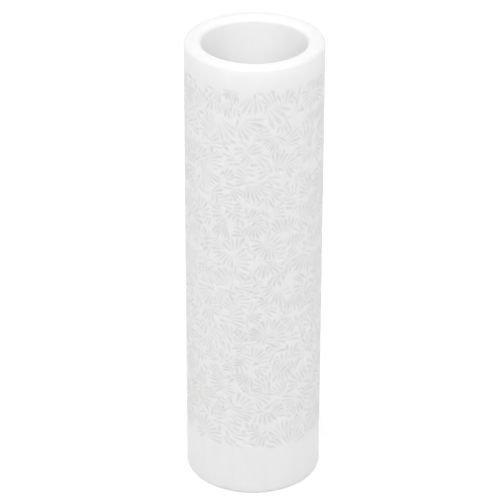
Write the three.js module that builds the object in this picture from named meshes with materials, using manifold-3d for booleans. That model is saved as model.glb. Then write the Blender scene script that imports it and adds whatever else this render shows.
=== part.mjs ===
// Hollow texture roller for clay: one thick-walled plastic tube with rounded ends, standing on one of them.
// Its outer wall is engraved with scattered fans, each a spread of pointed hollows, between two plain bands.
// Millimetres, +Z up along the roller's axis, origin at the centre of the end face that it stands on.
import * as THREE from "three";
import * as BufferGeometryUtils from "three/addons/utils/BufferGeometryUtils.js";
import Module from "manifold-3d";

// The tube
const LENGTH = 140;
const OUTER_DIAMETER = 40;
const WALL = 5; // from the outer wall to the bore
const OUTER_EDGE_ROUNDING = 1; // radius between the outer wall and each end face
const MOUTH_ROUNDING = 1.5; // radius between each end face and the bore
const OUTER_RADIUS = OUTER_DIAMETER / 2;
const BORE_RADIUS = OUTER_RADIUS - WALL;

// The plain bands below and above the fans
const LOWER_BAND = 15.5;
const UPPER_BAND = 6.8;

// The fans. A fan's reach runs from the point where its hollows meet to their outer ends.
const FAN_REACH = 7;
const HOLLOW_PITCH = 2; // from one hollow to the next, along the fan's outer arc
const RIB_WIDTH = 0.5; // plain wall left between two hollows at their outer ends
const HOLLOW_DEPTH = 0.6;
const FANS_AROUND = 12; // a count
const FAN_ROWS = 13; // a count
const FAN_SPREAD = THREE.MathUtils.degToRad(98);
const FAN_MIDDLE_SHARE = 0.6; // where a fan's middle lies along its reach
const SCATTER_SHARE = 0.28; // how far a fan strays from its place, of the room that it has
const REACH_VARIATION_SHARE = 0.15;
const SPREAD_VARIATION_SHARE = 0.2;
const HOLLOW_START_SHARE = 0.14; // where the hollows begin along the reach
const DEEPEST_SHARE = 0.74; // where a hollow is deepest along its own length
const CUTTER_STRETCH = 3; // how many times its depth a cutter is carried on, to stand clear of the wall

// How finely curves are drawn, in counts
const FACETS_AROUND = 36;
const STEPS_PER_ROUNDING = 3;
const QUARTER_TURN = Math.PI / 2;
const FACET_ANGLE = (2 * Math.PI) / FACETS_AROUND;
const FACET_WIDTH = FACET_ANGLE * OUTER_RADIUS;
const FACET_LINE_CLEARANCE = 0.05; // least distance from a hollow's corner to the line between two facets

const whitePlastic = new THREE.MeshStandardMaterial({ color: 0xf0f0f0, roughness: 0.3, metalness: 0 });

// The same scatter each time: a plain multiplying generator of shares from 0 to 1.
const GENERATOR_STEP = 16807;
const GENERATOR_RANGE = 2147483647;
let generatorState = 20260;
function nextShare() {
  generatorState = (generatorState * GENERATOR_STEP) % GENERATOR_RANGE;
  return generatorState / GENERATOR_RANGE;
}
const nextSignedShare = () => 2 * nextShare() - 1;

// The wall's section, as (radius, height) points going once round it.
function wallSection() {
  const points = [];
  const round = (radius, height, size, from) => {
    for (let step = 0; step <= STEPS_PER_ROUNDING; step++) {
      const angle = from + (QUARTER_TURN * step) / STEPS_PER_ROUNDING;
      points.push(new THREE.Vector2(radius + size * Math.cos(angle), height + size * Math.sin(angle)));
    }
  };
  const edgeRadius = OUTER_RADIUS - OUTER_EDGE_ROUNDING;
  const mouthRadius = BORE_RADIUS + MOUTH_ROUNDING;
  round(edgeRadius, OUTER_EDGE_ROUNDING, OUTER_EDGE_ROUNDING, -QUARTER_TURN);
  round(edgeRadius, LENGTH - OUTER_EDGE_ROUNDING, OUTER_EDGE_ROUNDING, 0);
  round(mouthRadius, LENGTH - MOUTH_ROUNDING, MOUTH_ROUNDING, QUARTER_TURN);
  round(mouthRadius, MOUTH_ROUNDING, MOUTH_ROUNDING, 2 * QUARTER_TURN);
  points.push(points[0].clone());
  return points;
}

// The fans lie on the wall as it would be unrolled: x runs round it, y runs up it.
function scatterFans() {
  const roomAround = (2 * Math.PI * OUTER_RADIUS) / FANS_AROUND;
  const roomUp = (LENGTH - LOWER_BAND - UPPER_BAND) / FAN_ROWS;
  const fans = [];
  for (let row = 0; row < FAN_ROWS; row++) {
    for (let column = 0; column < FANS_AROUND; column++) {
      const stagger = (row % 2) / 2;
      const middle = new THREE.Vector2(
        (column + stagger + SCATTER_SHARE * nextSignedShare()) * roomAround,
        LOWER_BAND + (row + 1 / 2 + SCATTER_SHARE * nextSignedShare()) * roomUp,
      );
      const heading = 2 * Math.PI * nextShare();
      const reach = FAN_REACH * (1 + REACH_VARIATION_SHARE * nextSignedShare());
      const spread = FAN_SPREAD * (1 + SPREAD_VARIATION_SHARE * nextSignedShare());
      const toMiddle = new THREE.Vector2(Math.cos(heading), Math.sin(heading));
      const root = middle.addScaledVector(toMiddle, -FAN_MIDDLE_SHARE * reach);
      fans.push({ root, heading, reach, spread });
    }
  }
  return fans;
}

// How far apart two outlines of the unrolled wall stand, measured square to whichever edge parts them best.
function gapBetween(outline, other) {
  const pairs = [
    [outline, other],
    [other, outline],
  ];
  const gaps = pairs.flatMap(([near, far]) =>
    near.map((corner, place) => {
      const along = near[(place + 1) % near.length].clone().sub(corner).normalize();
      return Math.min(...far.map((point) => point.clone().sub(corner).dot(new THREE.Vector2(along.y, -along.x))));
    }),
  );
  return Math.max(...gaps);
}

// Whether an outline keeps a rib's width off one that is cut already, taken the short way round the tube.
function keepsClear(outline, other) {
  const girth = 2 * Math.PI * OUTER_RADIUS;
  const laps = Math.round((outline[0].x - other[0].x) / girth);
  const beside = other.map((point) => new THREE.Vector2(point.x + laps * girth, point.y));
  return gapBetween(outline, beside) > RIB_WIDTH;
}

const onFan = (fan, distance, angle) =>
  new THREE.Vector2(
    fan.root.x + distance * Math.cos(fan.heading + angle),
    fan.root.y + distance * Math.sin(fan.heading + angle),
  );

// A point moved, if need be, so that it doesn't lie on the line between two facets of the wall.
function offFacetLine(point) {
  const line = FACET_WIDTH * Math.round(point.x / FACET_WIDTH);
  const side = point.x < line ? -1 : 1;
  const distance = Math.max(FACET_LINE_CLEARANCE, Math.abs(point.x - line));
  return new THREE.Vector2(line + side * distance, point.y);
}

// A point of the unrolled wall, at a depth below its flat facet, as it stands on the tube.
function onTube(point, depth) {
  const angle = point.x / OUTER_RADIUS;
  const fromFacetMiddle = angle - FACET_ANGLE * (Math.floor(angle / FACET_ANGLE) + 1 / 2);
  const facetRadius = (OUTER_RADIUS * Math.cos(FACET_ANGLE / 2)) / Math.cos(fromFacetMiddle);
  const radius = facetRadius - depth;
  return new THREE.Vector3(radius * Math.cos(angle), radius * Math.sin(angle), point.y);
}

// One hollow's cutter: a spike from the hollow's deepest point out through the corners of its outline.
function hollowCutter({ outline, deepest }) {
  const tip = onTube(deepest, HOLLOW_DEPTH);
  const corners = outline.map((point) =>
    tip.clone().add(onTube(point, 0).sub(tip).multiplyScalar(CUTTER_STRETCH)),
  );
  const points = [tip, ...corners];
  const shape = new THREE.BufferGeometry().setFromPoints(points);
  shape.setIndex([0, 2, 1, 0, 3, 2, 0, 1, 3, 1, 2, 3]);
  return shape;
}

// One fan's hollows that lie between the plain bands and keep clear of those that other fans have there.
function fanHollows(fan, hollowsThere) {
  const count = Math.round((fan.spread * fan.reach) / HOLLOW_PITCH);
  const share = fan.spread / count;
  const halfWidth = (share - RIB_WIDTH / fan.reach) / 2;
  const start = HOLLOW_START_SHARE * fan.reach;
  const hollows = [];
  for (let place = 0; place < count; place++) {
    const angle = (place + 1 / 2) * share - fan.spread / 2;
    const outline = [
      onFan(fan, start, angle),
      onFan(fan, fan.reach, angle - halfWidth),
      onFan(fan, fan.reach, angle + halfWidth),
    ].map(offFacetLine);
    const inZone = outline.every((point) => point.y > LOWER_BAND && point.y < LENGTH - UPPER_BAND);
    if (inZone && hollowsThere.every((other) => keepsClear(outline, other.outline))) {
      hollows.push({ outline, deepest: onFan(fan, start + DEEPEST_SHARE * (fan.reach - start), angle) });
    }
  }
  return hollows;
}

const wasm = await Module();
wasm.setup();

function toSolid(geometry) {
  const bare = geometry.clone();
  bare.deleteAttribute("normal");
  bare.deleteAttribute("uv");
  const merged = BufferGeometryUtils.mergeVertices(bare);
  return new wasm.Manifold(
    new wasm.Mesh({
      numProp: 3,
      vertProperties: Float32Array.from(merged.attributes.position.array),
      triVerts: Uint32Array.from(merged.index.array),
    }),
  );
}

function toGeometry(solid) {
  const mesh = solid.getMesh();
  const geometry = new THREE.BufferGeometry();
  geometry.setAttribute("position", new THREE.BufferAttribute(mesh.vertProperties, mesh.numProp));
  geometry.setIndex(new THREE.BufferAttribute(mesh.triVerts, 1));
  geometry.computeVertexNormals();
  return geometry;
}

function rollerTube() {
  const turned = new THREE.LatheGeometry(wallSection(), FACETS_AROUND, QUARTER_TURN);
  turned.rotateX(QUARTER_TURN);
  let tube = toSolid(turned);
  const hollows = [];
  for (const fan of scatterFans()) hollows.push(...fanHollows(fan, hollows));
  for (const hollow of hollows) tube = tube.subtract(toSolid(hollowCutter(hollow)));
  const mesh = new THREE.Mesh(toGeometry(tube), whitePlastic);
  mesh.name = "roller_tube";
  return mesh;
}

const roller = new THREE.Group();
roller.add(rollerTube());

export default roller;
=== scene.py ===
import math
from collections import namedtuple

import bmesh
import bpy
import numpy as np
from mathutils import Matrix, Vector


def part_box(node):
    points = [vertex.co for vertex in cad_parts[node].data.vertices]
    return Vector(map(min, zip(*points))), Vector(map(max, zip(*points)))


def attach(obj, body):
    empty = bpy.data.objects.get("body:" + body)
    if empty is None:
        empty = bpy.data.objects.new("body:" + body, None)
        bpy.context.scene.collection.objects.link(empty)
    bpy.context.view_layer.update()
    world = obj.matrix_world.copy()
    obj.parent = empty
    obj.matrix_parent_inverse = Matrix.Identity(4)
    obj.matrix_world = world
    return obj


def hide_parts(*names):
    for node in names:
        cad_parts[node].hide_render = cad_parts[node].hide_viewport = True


# A hollow texture roller for clay: one glossy white plastic tube that stands on end on a white floor.
# Its outer wall is engraved with scattered fans of leaf-shaped hollows, between two plain bands.
# Metres, +Z up along the roller's axis, origin at the centre of the end face that it stands on.

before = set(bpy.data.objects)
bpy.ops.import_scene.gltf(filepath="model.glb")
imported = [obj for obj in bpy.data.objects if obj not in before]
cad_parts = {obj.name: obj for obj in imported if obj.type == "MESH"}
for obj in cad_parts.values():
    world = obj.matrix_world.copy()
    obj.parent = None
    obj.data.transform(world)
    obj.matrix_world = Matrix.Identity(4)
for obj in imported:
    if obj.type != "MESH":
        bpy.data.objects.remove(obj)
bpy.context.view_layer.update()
MM = 0.001

# The tube. Its length and outer diameter come from the frame.
tube_low, tube_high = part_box("roller_tube")
LENGTH = tube_high.z - tube_low.z
OUTER_RADIUS = (tube_high.x - tube_low.x) / 2
GIRTH = 2 * math.pi * OUTER_RADIUS
WALL = 5 * MM
BORE_RADIUS = OUTER_RADIUS - WALL
OUTER_EDGE_ROUNDING = 1 * MM
MOUTH_ROUNDING = 1.5 * MM
ROUNDING_STEPS = 8  # a count

# The plain bands below and above the fans
LOWER_BAND = 15.5 * MM
UPPER_BAND = 6.8 * MM

# The scattered fans, in layers one under another. A fan's reach runs from the point where its hollows meet
# to their outer ends.
FAN_REACH = 7.4 * MM
FAN_SPREAD = math.radians(78)
FANS_AROUND = 12  # a count
FAN_ROWS = 13  # a count
UNDER_LAYERS = 12  # a count
LAYER_SHIFT_SHARE = 0.37  # how far round each layer moves from the last, of the room that a fan has
FAN_MIDDLE_SHARE = 0.6  # where a fan's middle lies along its reach
SCATTER_SHARE = 0.28  # how far a fan strays from its place, of the room that it has
REACH_VARIATION_SHARE = 0.18
SPREAD_VARIATION_SHARE = 0.28
PITCH_VARIATION_SHARE = 0.12
MOST_CURL = math.radians(11)
FAN_SEED = 20260
STROKE_SEED = 4711

# The fans that face the camera, topmost first: millimetres round the wall from the front line and up it,
# heading in degrees, reach in millimetres, spread in degrees, hollows, and curl in degrees.
FRONT_FANS = [
    (-0.3, 133.7, -96, 8.7, 68, 5, -10), (-6, 134.4, -106, 5.6, 60, 5, -8), (8.6, 126.2, 86, 7, 62, 4, 0),
    (3, 129.8, -50, 9.8, 66, 4, 4), (-5.4, 124.4, -37, 8.3, 90, 6, 0), (-11.4, 124.6, -52, 8.8, 56, 4, 0),
    (7.4, 119.1, -134, 6.4, 78, 7, 8), (-0.3, 115.6, -142, 6.6, 78, 5, 6), (-0.7, 114.4, -36, 6.4, 54, 3, 0),
    (6.4, 108.9, -174, 6.6, 66, 4, 0), (-15.2, 114.6, 22, 6.8, 62, 4, 0), (-16.8, 109.2, 14, 8.4, 50, 4, 0),
    (-12, 131.5, -92, 6.8, 60, 4, 0), (-8.2, 130, -98, 6, 52, 4, -6), (-0.5, 106, -74, 7.8, 92, 8, 12),
    (-0.8, 105.6, 174, 5.6, 84, 5, 0), (-9.4, 104, 48, 5.8, 60, 4, 0), (-8, 103, -36, 6.2, 56, 4, 0),
    (-1.7, 92.2, 40, 5.2, 84, 5, 0), (-0.3, 92.1, -80, 5.6, 118, 8, 0), (-8.5, 93, -104, 8.3, 56, 6, 0),
    (3.4, 103.4, -44, 6.6, 56, 4, 0), (3.4, 94.4, 8, 6.4, 60, 4, 0), (5.2, 85.2, -128, 6.4, 102, 7, 4),
    (-7, 79, 10, 6.8, 88, 5, 0), (-12.6, 97.2, 8, 7.4, 56, 4, 0), (-8.7, 95.5, 4, 6.2, 62, 4, 0),
    (-14.6, 98.4, 24, 6.8, 56, 4, 0), (-6.4, 83, -136, 7.6, 104, 8, 0), (3.7, 80.3, -86, 7.2, 98, 7, 6),
    (-6.8, 76.4, -36, 5.6, 52, 3, 0), (-6.4, 70.8, 8, 7, 60, 4, 0), (-7.6, 65.6, 6, 6.9, 58, 4, 0),
    (7.9, 71.4, -150, 6.6, 58, 4, 0), (6.7, 66.4, -171, 6.4, 52, 4, 4), (-9.7, 60, 4, 8, 68, 5, 0),
    (-3, 62.3, -24, 6.6, 52, 4, 0), (3.9, 53.9, 14, 7.1, 122, 8, 0), (3.8, 54.4, 172, 6, 60, 5, 0),
    (12.6, 69, -98, 8.2, 50, 5, 0), (-16, 75.2, -42, 8, 50, 4, 0), (-0.7, 45.6, 44, 6, 100, 6, 0),
    (-0.7, 44.4, -34, 5.8, 68, 4, 0), (-1.2, 51.6, -152, 5.8, 58, 4, 0), (-0.9, 45.6, 172, 5.6, 62, 5, 0),
    (-1, 43.2, -116, 7, 76, 7, -10), (-5.4, 29, 25, 6.7, 124, 7, 0), (-0.4, 35.6, -36, 7.4, 62, 4, 0),
    (4.2, 22.2, -142, 6.4, 88, 6, 6), (-10.6, 25, -36, 7.8, 64, 4, 0), (-11, 35, 5, 6, 60, 4, 0),
    (-10.6, 25.1, 94, 5.4, 54, 4, 0), (-3.5, 43, 172, 6.6, 50, 4, 0), (4.8, 39.6, 54, 7, 54, 4, 0),
    (4, 27, 14, 6.7, 58, 4, 0), (-13.6, 53.6, -104, 8, 62, 5, 0), (12, 38.6, 84, 7, 50, 4, 0),
    (-17, 31.5, 20, 6, 52, 4, 0),
]

# The hollows of a fan, and the ribs of plain wall between them
HOLLOW_PITCH = 1.9 * MM  # from one hollow to the next, along the fan's outer arc
HOLLOW_DEPTH = 0.4 * MM
RIB_WIDTH = 0.38 * MM
RIB_MOST_SHARE = 0.28  # the most of the pitch that a rib takes, near the root where hollows crowd
HOLLOW_START_SHARE = 0.12  # where the hollows begin along the fan's reach
HOLLOW_WIDENED_SHARE = 0.25  # where a hollow first fills its room, along its own length
HOLLOW_WIDEST_SHARE = 0.62  # where it starts to round off towards its tip
HOLLOW_END_VARIATION_SHARE = 0.16
HOLLOW_WIDTH_VARIATION_SHARE = 0.15
DEEPEST_FROM_WIDTH_SHARE = 0.8  # the share of the full width from which a hollow has its full depth
ROOT_TAPER = 0.6  # powers: how bluntly a hollow widens, how late it rounds off, and how flat its bottom is
TIP_TAPER = 2.2
DISH_FLATNESS = 3.5
CURL_STILL_SHARE = 0.4  # where a curled fan keeps its heading, as the square of the share of its reach

# What a fan covers, so that later fans stay out of it
FAN_RIM = 0.25 * MM  # plain wall past the hollows' outer ends
FAN_SIDE_SHARE = 0.12  # plain wall beside the outermost hollows, of one hollow's room
BARE_ROOT_SHARE = 0.3  # the part of the reach, next to the root, where a fan cuts and covers nothing
BORDER_SCALLOP_SHARE = 0.6  # how much of the rim draws in between two hollows
LEAST_LEFT_SHARE = 0.4  # a hollow is left out where earlier fans leave less of it than this

# How finely the tube is drawn before its flat stretches are thinned out, and the most triangles left then
CELL = 0.2 * MM
MOST_TRIANGLES = 185_000
SLOPE_SHARE = 0.5  # how much of the engraving's slopes the shading shows
LEAST_WIDTH = 1e-6 * MM  # stands in for no width where one is divided by
SEAM_REACH = 0.001 * MM  # nearer points than this are one and the same

# The plastic: its whites, the painted shade in its engraved hollows, and its roughness, and the widths of its
# flow streaks, gloss patches and orange peel
PLASTIC_WHITE = (0.945, 0.945, 0.942)
STREAK_WHITE = (0.925, 0.925, 0.921)
# the colour that the engraved hollows are multiplied by at full depth: painted shade, darker the deeper a
# hollow is
HOLLOW_PAINTED_SHADE = (0.87, 0.87, 0.87)
PLASTIC_IOR = 1.49
TRANSLUCENT_SHARE = 0.5
LIGHT_SPREAD = 3 * MM  # how far light wanders inside the wall
ROUGHNESS_RANGE = (0.36, 0.46)
NOISE_RANGE = (0.2, 0.8)
STREAK_WIDTH = 3.8 * MM
STREAK_STRETCH = 12  # how many times longer than wide a streak is
GLOSS_PATCH = 17 * MM
PATCH_DETAIL = 2
PEEL_WIDTH = 0.8 * MM
PEEL_DETAIL = 1
PEEL_STRENGTH = 0.3
PEEL_DEPTH = 0.01 * MM

# The camera, from the roller's outline in the photograph. Its lens and sensor are in millimetres.
CAMERA_RISE = math.radians(28.845)
CAMERA_DISTANCE = 0.8266
CAMERA_LENS = 202.63
SENSOR_WIDTH = 36
CAMERA_ROLL = math.radians(0.1589)
CAMERA_ASIDE = -1.100 * MM  # how far its aim is off the roller's middle, to the right and up
CAMERA_UP = 2.014 * MM
NEAREST_SEEN = 0.05
FARTHEST_SEEN = 20

# The white floor, a hair's breadth below the roller, and the white room round it. The room gives light at one
# strength, and is seen at another.
FLOOR_COLOUR = (0.8, 0.8, 0.8)
FLOOR_GLOW = 0.35  # the floor's own light, where it is looked at
FLOOR_HALF_SIDE = 1.6
FLOOR_GAP = 0.05 * MM
ROOM_LIGHT = 0.5
ROOM_SEEN = 1

# The soft boxes, all square and at one distance: name, azimuth and rise in degrees, and power in watts.
# Azimuth 0 is behind the camera, and 90 to the right.
SOFT_LIGHT_SIDE = 2.2
SOFT_LIGHT_DISTANCE = 2.5
SOFT_LIGHTS = [
    ("front_light", 0, 43, 19),
    ("left_light", -72, 34, 13),
    ("right_light", 72, 34, 11),
    ("back_light", 180, 50, 8),
]

# The spot that lightens the bore
MOUTH_LIGHT_RISE = math.radians(43)
MOUTH_LIGHT_CONE = math.radians(1.15)
MOUTH_LIGHT_WIDENING = 1.5  # how many times wider than high its cone is
MOUTH_LIGHT_DISTANCE = 1.3
MOUTH_LIGHT_RADIUS = 0.01
MOUTH_LIGHT_POWER = 28

Fan = namedtuple("Fan", "across up heading reach spread hollows curl")


class Scatter:
    """A plain multiplying generator of shares from 0 to 1, the same each time."""

    STEP = 16807
    RANGE = 2147483647

    def __init__(self, seed):
        self.state = seed

    def share(self):
        self.state = self.state * self.STEP % self.RANGE
        return self.state / self.RANGE

    def signed_share(self):
        return 2 * self.share() - 1


def front_fans():
    front = -math.pi / 2 * OUTER_RADIUS
    return [
        Fan(front + across * MM, up * MM, math.radians(heading), reach * MM, math.radians(spread), hollows,
            math.radians(curl))
        for across, up, heading, reach, spread, hollows, curl in FRONT_FANS
    ]


def scattered_fans(places, strokes, shift):
    """One layer of fans in staggered rows all over the engraved zone, each strayed from its place."""
    room_around = GIRTH / FANS_AROUND
    room_up = (LENGTH - LOWER_BAND - UPPER_BAND) / FAN_ROWS
    fans = []
    for row in range(FAN_ROWS):
        for column in range(FANS_AROUND):
            across = (column + row % 2 / 2 + shift + SCATTER_SHARE * places.signed_share()) * room_around
            up = LOWER_BAND + (row + 1 / 2 + SCATTER_SHARE * places.signed_share()) * room_up
            heading = 2 * math.pi * places.share()
            reach = FAN_REACH * (1 + REACH_VARIATION_SHARE * places.signed_share())
            spread = FAN_SPREAD * (1 + SPREAD_VARIATION_SHARE * places.signed_share())
            pitch = HOLLOW_PITCH * (1 + PITCH_VARIATION_SHARE * strokes.signed_share())
            curl = MOST_CURL * strokes.signed_share()
            back = FAN_MIDDLE_SHARE * reach
            fans.append(Fan(
                across - back * math.cos(heading), up - back * math.sin(heading), heading, reach, spread,
                round(spread * reach / pitch), curl,
            ))
    return fans


def cut_fan(height, taken, fan, strokes, rows):
    """Engraves one fan where no earlier fan lies, and marks what it covers as taken."""
    columns = height.shape[1]
    cell, step = GIRTH / columns, rows[1] - rows[0]
    ends = np.array([1 - HOLLOW_END_VARIATION_SHARE * strokes.share() for _ in range(fan.hollows)])
    widths = np.array([1 + HOLLOW_WIDTH_VARIATION_SHARE * strokes.signed_share() for _ in range(fan.hollows)])
    room = fan.reach + FAN_RIM
    places = np.arange(math.floor((fan.across - room) / cell), math.ceil((fan.across + room) / cell) + 1)
    fan_level = (fan.up - rows[0]) / step
    levels = np.arange(math.floor(fan_level - room / step), math.ceil(fan_level + room / step) + 1)
    x, y = np.meshgrid(places * cell - fan.across, levels * step + rows[0] - fan.up)
    distance = np.hypot(x, y)
    angle = np.arctan2(y, x) - fan.heading - fan.curl * ((distance / fan.reach) ** 2 - CURL_STILL_SHARE)
    angle -= 2 * math.pi * np.round(angle / (2 * math.pi))
    place = (angle / fan.spread + 1 / 2) * fan.hollows
    hollow = np.clip(np.floor(place).astype(int), 0, fan.hollows - 1)
    off_middle = abs(place - hollow - 1 / 2)
    pitch = fan.spread * distance / fan.hollows
    end = fan.reach * ends[hollow]
    start = HOLLOW_START_SHARE * fan.reach
    along = (distance - start) / (end - start)
    past_widest = np.clip((along - HOLLOW_WIDEST_SHARE) / (1 - HOLLOW_WIDEST_SHARE), 0, 1)
    leaf = np.clip(along / HOLLOW_WIDENED_SHARE, 0, 1) ** ROOT_TAPER * np.sqrt(1 - past_widest ** TIP_TAPER)
    half_width = (pitch - np.minimum(RIB_WIDTH, RIB_MOST_SHARE * pitch)) / 2 * leaf * widths[hollow]
    full_half_width = (fan.spread * fan.reach / fan.hollows - RIB_WIDTH) / 2
    dish = np.clip(1 - (off_middle * pitch / np.maximum(half_width, LEAST_WIDTH)) ** DISH_FLATNESS, 0, 1)
    grown = np.clip(half_width / (DEEPEST_FROM_WIDTH_SHARE * full_half_width), 0, 1)
    depth = HOLLOW_DEPTH * dish * grown
    inside = (place > 0) & (place < fan.hollows) & (distance < end) & (along > 0)
    depth[~inside] = 0
    border = end + FAN_RIM * (1 - BORDER_SCALLOP_SHARE * (2 * off_middle) ** 2)
    between = (place > -FAN_SIDE_SHARE) & (place < fan.hollows + FAN_SIDE_SHARE)
    covered = between & (distance < border) & (distance > BARE_ROOT_SHARE * fan.reach)
    cells = np.ix_(np.clip(levels, 0, len(rows) - 1), places % columns)
    in_zone = (levels > 0) & (levels < len(rows) - 1)
    free = in_zone[:, None] & ~taken[cells]
    room_left = np.bincount(hollow[inside & free], minlength=fan.hollows)
    room_needed = np.bincount(hollow[inside], minlength=fan.hollows)
    covered &= free & (room_left > LEAST_LEFT_SHARE * room_needed)[hollow]
    height[cells] = np.where(covered, -depth, height[cells])
    taken[cells] |= covered


def fan_relief(columns, rows):
    """How far the wall stands out from its plain face, in rows up the engraved zone and columns round it."""
    height = np.zeros((len(rows), columns))
    taken = np.zeros((len(rows), columns), bool)
    places, strokes = Scatter(FAN_SEED), Scatter(STROKE_SEED)
    fans = front_fans()
    for layer in range(UNDER_LAYERS):
        fans += scattered_fans(places, strokes, LAYER_SHIFT_SHARE * layer)
    for fan in fans:
        cut_fan(height, taken, fan, strokes, rows)
    return height


def wall_section(rows):
    """The wall's closed section, as (radius, height) points once round it, first up the engraved zone."""
    edge_radius, edge = OUTER_RADIUS - OUTER_EDGE_ROUNDING, OUTER_EDGE_ROUNDING
    mouth_radius, mouth = BORE_RADIUS + MOUTH_ROUNDING, MOUTH_ROUNDING
    section = [(OUTER_RADIUS, row) for row in rows]
    for quarter, (radius, height, rounding) in enumerate([
        (edge_radius, LENGTH - edge, edge), (mouth_radius, LENGTH - mouth, mouth),
        (mouth_radius, mouth, mouth), (edge_radius, edge, edge),
    ]):
        for step in range(ROUNDING_STEPS + 1):
            angle = math.pi / 2 * (quarter + step / ROUNDING_STEPS)
            section.append((radius + rounding * math.cos(angle), height + rounding * math.sin(angle)))
    return np.array(section + section[:1])


def rolled_tube(rows, relief):
    """The tube: a flat grid rolled up round the axis along the wall's section, engraved and closed."""
    columns = relief.shape[1]
    section = wall_section(rows)
    radii = np.tile(section[:, :1], columns)
    radii[:len(rows)] += relief
    radii[-1] = radii[0]

    tube = bmesh.new()
    bmesh.ops.create_grid(tube, x_segments=columns, y_segments=len(section) - 1, size=1)
    mesh = bpy.data.meshes.new("roller_tube")
    tube.to_mesh(mesh)
    points = np.empty(3 * len(mesh.vertices))
    mesh.vertices.foreach_get("co", points)
    points = points.reshape(-1, 3)
    column = np.round((points[:, 0] + 1) / 2 * columns).astype(int) % columns
    row = np.round((points[:, 1] + 1) / 2 * (len(section) - 1)).astype(int)
    angle = 2 * math.pi * column / columns
    radius = radii[row, column]
    points[:] = np.stack([radius * np.cos(angle), radius * np.sin(angle), section[row, 1]], axis=1)
    mesh.vertices.foreach_set("co", points.ravel())
    tube.clear()
    tube.from_mesh(mesh)
    bmesh.ops.remove_doubles(tube, verts=tube.verts, dist=SEAM_REACH)
    bmesh.ops.recalc_face_normals(tube, faces=tube.faces)
    tube.to_mesh(mesh)
    tube.free()
    return mesh


def thinned(mesh):
    """The same tube in fewer triangles where it is flat, and with a ring where each plain band ends."""
    piece = bpy.data.objects.new("thinning", mesh)
    bpy.context.scene.collection.objects.link(piece)
    thinning = piece.modifiers.new("thinning", "DECIMATE")
    thinning.ratio = MOST_TRIANGLES / (2 * len(mesh.polygons))
    finished = bpy.data.meshes.new_from_object(piece.evaluated_get(bpy.context.evaluated_depsgraph_get()))
    bpy.data.objects.remove(piece)
    tube = bmesh.new()
    tube.from_mesh(finished)
    for height in (LOWER_BAND, LENGTH - UPPER_BAND):
        whole = [*tube.verts, *tube.edges, *tube.faces]
        bmesh.ops.bisect_plane(tube, geom=whole, plane_co=(0, 0, height), plane_no=(0, 0, 1))
    bmesh.ops.triangulate(tube, faces=tube.faces)
    # Thinning moves some points out a little past the wall and the end faces. They are brought back.
    for point in tube.verts:
        x, y, z = point.co
        inward = min(1, OUTER_RADIUS / math.hypot(x, y))
        point.co = (x * inward, y * inward, min(max(z, 0), LENGTH))
    tube.to_mesh(finished)
    tube.free()
    return finished


def finish_surface(mesh, rows, relief):
    """Shades the tube by its true section and the engraving's slopes, and marks how deep each point lies for
    the painted shade in the hollows.
    """
    points = np.empty(3 * len(mesh.vertices))
    mesh.vertices.foreach_get("co", points)
    x, y, z = points.reshape(-1, 3).T
    radius, angle = np.hypot(x, y), np.arctan2(y, x)
    outside = radius > OUTER_RADIUS - WALL / 2
    rounding = np.where(outside, OUTER_EDGE_ROUNDING, MOUTH_ROUNDING)
    out = radius - np.clip(radius, BORE_RADIUS + MOUTH_ROUNDING, OUTER_RADIUS - OUTER_EDGE_ROUNDING)
    up = z - np.clip(z, rounding, LENGTH - rounding)
    out, up = out / np.hypot(out, up), up / np.hypot(out, up)

    columns = relief.shape[1]
    rise_round = np.roll(relief, -1, axis=1) - np.roll(relief, 1, axis=1)
    slope_round = SLOPE_SHARE * rise_round * columns / (2 * GIRTH)
    slope_up = SLOPE_SHARE * np.gradient(relief, rows, axis=0)
    column = np.round(angle / (2 * math.pi) * columns).astype(int) % columns
    level = (z - rows[0]) / (rows[1] - rows[0])
    row = np.clip(np.round(level).astype(int), 0, len(rows) - 1)
    engraved = outside & (z > rows[0] + SEAM_REACH) & (z < rows[-1] - SEAM_REACH)
    turned = np.where(engraved, -slope_round[row, column], 0)
    tilted = np.where(engraved, up - slope_up[row, column], up)
    normals = np.stack([
        out * np.cos(angle) - turned * np.sin(angle), out * np.sin(angle) + turned * np.cos(angle), tilted,
    ], axis=1)
    normals /= np.linalg.norm(normals, axis=1, keepdims=True)
    mesh.shade_smooth()
    mesh.normals_split_custom_set_from_vertices(normals)
    # How deep each point is sunk, as a share of the engraving's depth; the material darkens the colour by it
    # as painted shade in the hollows.
    sunk_for_painted_shade = mesh.attributes.new("sunk_for_painted_shade", "FLOAT", "POINT")
    sunk_for_painted_shade.data.foreach_set("value", np.where(engraved, -relief[row, column] / HOLLOW_DEPTH, 0))


def noise(nodes, links, place, size, detail, stretch=1):
    """A soft noise on the tube's coordinates, in patches of about this size, stretched along the axis."""
    fitted = nodes.new("ShaderNodeMapping")
    fitted.inputs["Scale"].default_value = (1 / size, 1 / size, 1 / (size * stretch))
    links.new(place.outputs["Object"], fitted.inputs["Vector"])
    patches = nodes.new("ShaderNodeTexNoise")
    patches.inputs["Scale"].default_value = 1
    patches.inputs["Detail"].default_value = detail
    links.new(fitted.outputs["Vector"], patches.inputs["Vector"])
    return patches.outputs["Fac"]


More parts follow.
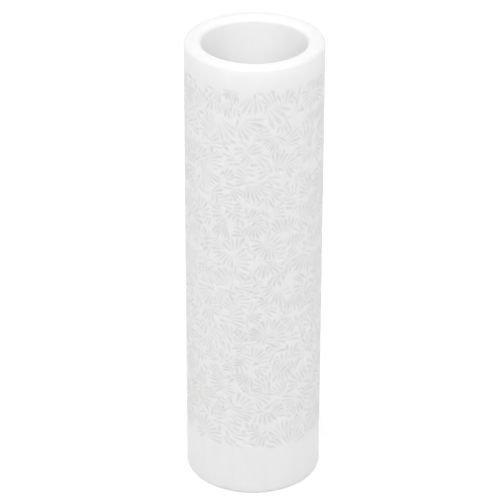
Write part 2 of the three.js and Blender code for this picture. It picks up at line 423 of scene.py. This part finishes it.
def white_plastic():
    """Glossy white moulded plastic, slightly translucent, with faint flow streaks, fine orange peel, and
    painted shade that darkens the engraved hollows by their depth.
    """
    material = bpy.data.materials.new("white_plastic")
    material.use_nodes = True
    nodes, links = material.node_tree.nodes, material.node_tree.links
    surface = nodes["Principled BSDF"]
    surface.inputs["IOR"].default_value = PLASTIC_IOR
    surface.inputs["Subsurface Weight"].default_value = TRANSLUCENT_SHARE
    surface.inputs["Subsurface Radius"].default_value = (1, 1, 1)  # alike in red, green and blue
    surface.inputs["Subsurface Scale"].default_value = LIGHT_SPREAD
    place = nodes.new("ShaderNodeTexCoord")

    tint = nodes.new("ShaderNodeValToRGB")
    tint.color_ramp.elements[0].position, tint.color_ramp.elements[1].position = NOISE_RANGE
    tint.color_ramp.elements[0].color = (*STREAK_WHITE, 1)
    tint.color_ramp.elements[1].color = (*PLASTIC_WHITE, 1)
    links.new(noise(nodes, links, place, STREAK_WIDTH, PATCH_DETAIL, STREAK_STRETCH), tint.inputs["Fac"])
    # Painted shade: the colour is multiplied towards the hollow shade by how deep each point is sunk.
    sunk_for_painted_shade = nodes.new("ShaderNodeAttribute")
    sunk_for_painted_shade.attribute_name = "sunk_for_painted_shade"
    shaded = nodes.new("ShaderNodeMixRGB")
    shaded.blend_type = "MULTIPLY"
    shaded.inputs["Color2"].default_value = (*HOLLOW_PAINTED_SHADE, 1)
    links.new(sunk_for_painted_shade.outputs["Fac"], shaded.inputs["Fac"])
    links.new(tint.outputs["Color"], shaded.inputs["Color1"])
    links.new(shaded.outputs["Color"], surface.inputs["Base Color"])

    gloss = nodes.new("ShaderNodeMapRange")
    gloss.inputs["From Min"].default_value, gloss.inputs["From Max"].default_value = NOISE_RANGE
    gloss.inputs["To Min"].default_value, gloss.inputs["To Max"].default_value = ROUGHNESS_RANGE
    links.new(noise(nodes, links, place, GLOSS_PATCH, PATCH_DETAIL), gloss.inputs["Value"])
    links.new(gloss.outputs["Result"], surface.inputs["Roughness"])

    peel = nodes.new("ShaderNodeBump")
    peel.inputs["Strength"].default_value = PEEL_STRENGTH
    peel.inputs["Distance"].default_value = PEEL_DEPTH
    links.new(noise(nodes, links, place, PEEL_WIDTH, PEEL_DETAIL), peel.inputs["Height"])
    links.new(peel.outputs["Normal"], surface.inputs["Normal"])
    return material


def roller_tube():
    rows = np.linspace(LOWER_BAND, LENGTH - UPPER_BAND, round((LENGTH - UPPER_BAND - LOWER_BAND) / CELL) + 1)
    relief = fan_relief(round(GIRTH / CELL), rows)
    mesh = rolled_tube(rows, relief)
    mesh = thinned(mesh)
    finish_surface(mesh, rows, relief)
    mesh.materials.append(white_plastic())
    piece = bpy.data.objects.new("texture_roller", mesh)
    bpy.context.scene.collection.objects.link(piece)
    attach(piece, "root")
    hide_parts("roller_tube")


def camera():
    data = bpy.data.cameras.new("camera")
    data.lens = CAMERA_LENS
    data.sensor_width = SENSOR_WIDTH
    data.clip_start, data.clip_end = NEAREST_SEEN, FARTHEST_SEEN
    back = Vector((0, -math.cos(CAMERA_RISE), math.sin(CAMERA_RISE)))
    aside = Vector((1, 0, 0))
    up = back.cross(aside)
    turned_aside = math.cos(CAMERA_ROLL) * aside + math.sin(CAMERA_ROLL) * up
    turned_up = math.cos(CAMERA_ROLL) * up - math.sin(CAMERA_ROLL) * aside
    place = Vector((0, 0, LENGTH / 2)) + back * CAMERA_DISTANCE + aside * CAMERA_ASIDE + up * CAMERA_UP
    eye = bpy.data.objects.new("camera", data)
    axes = Matrix((turned_aside, turned_up, back)).transposed()
    eye.matrix_world = Matrix.Translation(place) @ axes.to_4x4()
    bpy.context.scene.collection.objects.link(eye)
    bpy.context.scene.camera = eye


def looked_at(nodes, links):
    """1 where camera, gloss or a clear body sees the surroundings, and 0 for the light that they give."""
    ray = nodes.new("ShaderNodeLightPath")
    seen = ray.outputs["Is Camera Ray"]
    for also in ("Is Glossy Ray", "Is Transmission Ray"):
        either = nodes.new("ShaderNodeMath")
        either.operation = "MAXIMUM"
        links.new(seen, either.inputs[0])
        links.new(ray.outputs[also], either.inputs[1])
        seen = either.outputs[0]
    return seen


def white_floor():
    """White floor whose own light is added only where it is looked at."""
    material = bpy.data.materials.new("white_floor")
    material.use_nodes = True
    nodes, links = material.node_tree.nodes, material.node_tree.links
    surface = nodes["Principled BSDF"]
    surface.inputs["Base Color"].default_value = (*FLOOR_COLOUR, 1)
    surface.inputs["Roughness"].default_value = 1
    surface.inputs["Specular IOR Level"].default_value = 0
    surface.inputs["Emission Color"].default_value = (1, 1, 1, 1)
    glow = nodes.new("ShaderNodeMath")
    glow.operation = "MULTIPLY"
    glow.inputs[1].default_value = FLOOR_GLOW
    links.new(looked_at(nodes, links), glow.inputs[0])
    links.new(glow.outputs[0], surface.inputs["Emission Strength"])
    return material


def floor():
    ground = bmesh.new()
    bmesh.ops.create_grid(ground, x_segments=1, y_segments=1, size=FLOOR_HALF_SIDE)
    mesh = bpy.data.meshes.new("floor")
    ground.to_mesh(mesh)
    ground.free()
    mesh.transform(Matrix.Translation((0, 0, -FLOOR_GAP)))
    mesh.materials.append(white_floor())
    piece = bpy.data.objects.new("floor", mesh)
    bpy.context.scene.collection.objects.link(piece)


def white_room():
    """A room that lights the roller evenly, and is white where it is looked at."""
    room = bpy.data.worlds.new("white_room")
    bpy.context.scene.world = room
    room.use_nodes = True
    nodes, links = room.node_tree.nodes, room.node_tree.links
    nodes["Background"].inputs["Color"].default_value = (1, 1, 1, 1)
    strength = nodes.new("ShaderNodeMapRange")
    strength.inputs["To Min"].default_value, strength.inputs["To Max"].default_value = ROOM_LIGHT, ROOM_SEEN
    links.new(looked_at(nodes, links), strength.inputs["Value"])
    links.new(strength.outputs["Result"], nodes["Background"].inputs["Strength"])


def soft_light(name, azimuth, rise, power):
    """A square soft box aimed at the roller's middle."""
    data = bpy.data.lights.new(name, "AREA")
    data.size = SOFT_LIGHT_SIDE
    data.energy = power
    turn, lift = math.radians(azimuth), math.radians(rise)
    away = Vector((math.sin(turn) * math.cos(lift), -math.cos(turn) * math.cos(lift), math.sin(lift)))
    lamp = bpy.data.objects.new(name, data)
    lamp.location = Vector((0, 0, LENGTH / 2)) + away * SOFT_LIGHT_DISTANCE
    lamp.rotation_euler = away.to_track_quat("Z", "Y").to_euler()
    bpy.context.scene.collection.objects.link(lamp)


def mouth_light():
    """A faint soft-edged spot, wider than high, that lightens the bore behind the upper mouth."""
    data = bpy.data.lights.new("mouth_light", "SPOT")
    data.spot_size = MOUTH_LIGHT_CONE
    data.spot_blend = 1
    data.shadow_soft_size = MOUTH_LIGHT_RADIUS
    data.energy = MOUTH_LIGHT_POWER
    away = Vector((0, -math.cos(MOUTH_LIGHT_RISE), math.sin(MOUTH_LIGHT_RISE)))
    lamp = bpy.data.objects.new("mouth_light", data)
    lamp.location = Vector((0, 0, LENGTH)) + away * MOUTH_LIGHT_DISTANCE
    lamp.rotation_euler = away.to_track_quat("Z", "Y").to_euler()
    lamp.scale.x = MOUTH_LIGHT_WIDENING
    bpy.context.scene.collection.objects.link(lamp)


bpy.context.scene.view_settings.view_transform = "Standard"
camera()
white_room()
floor()
for light in SOFT_LIGHTS:
    soft_light(*light)
mouth_light()
roller_tube()
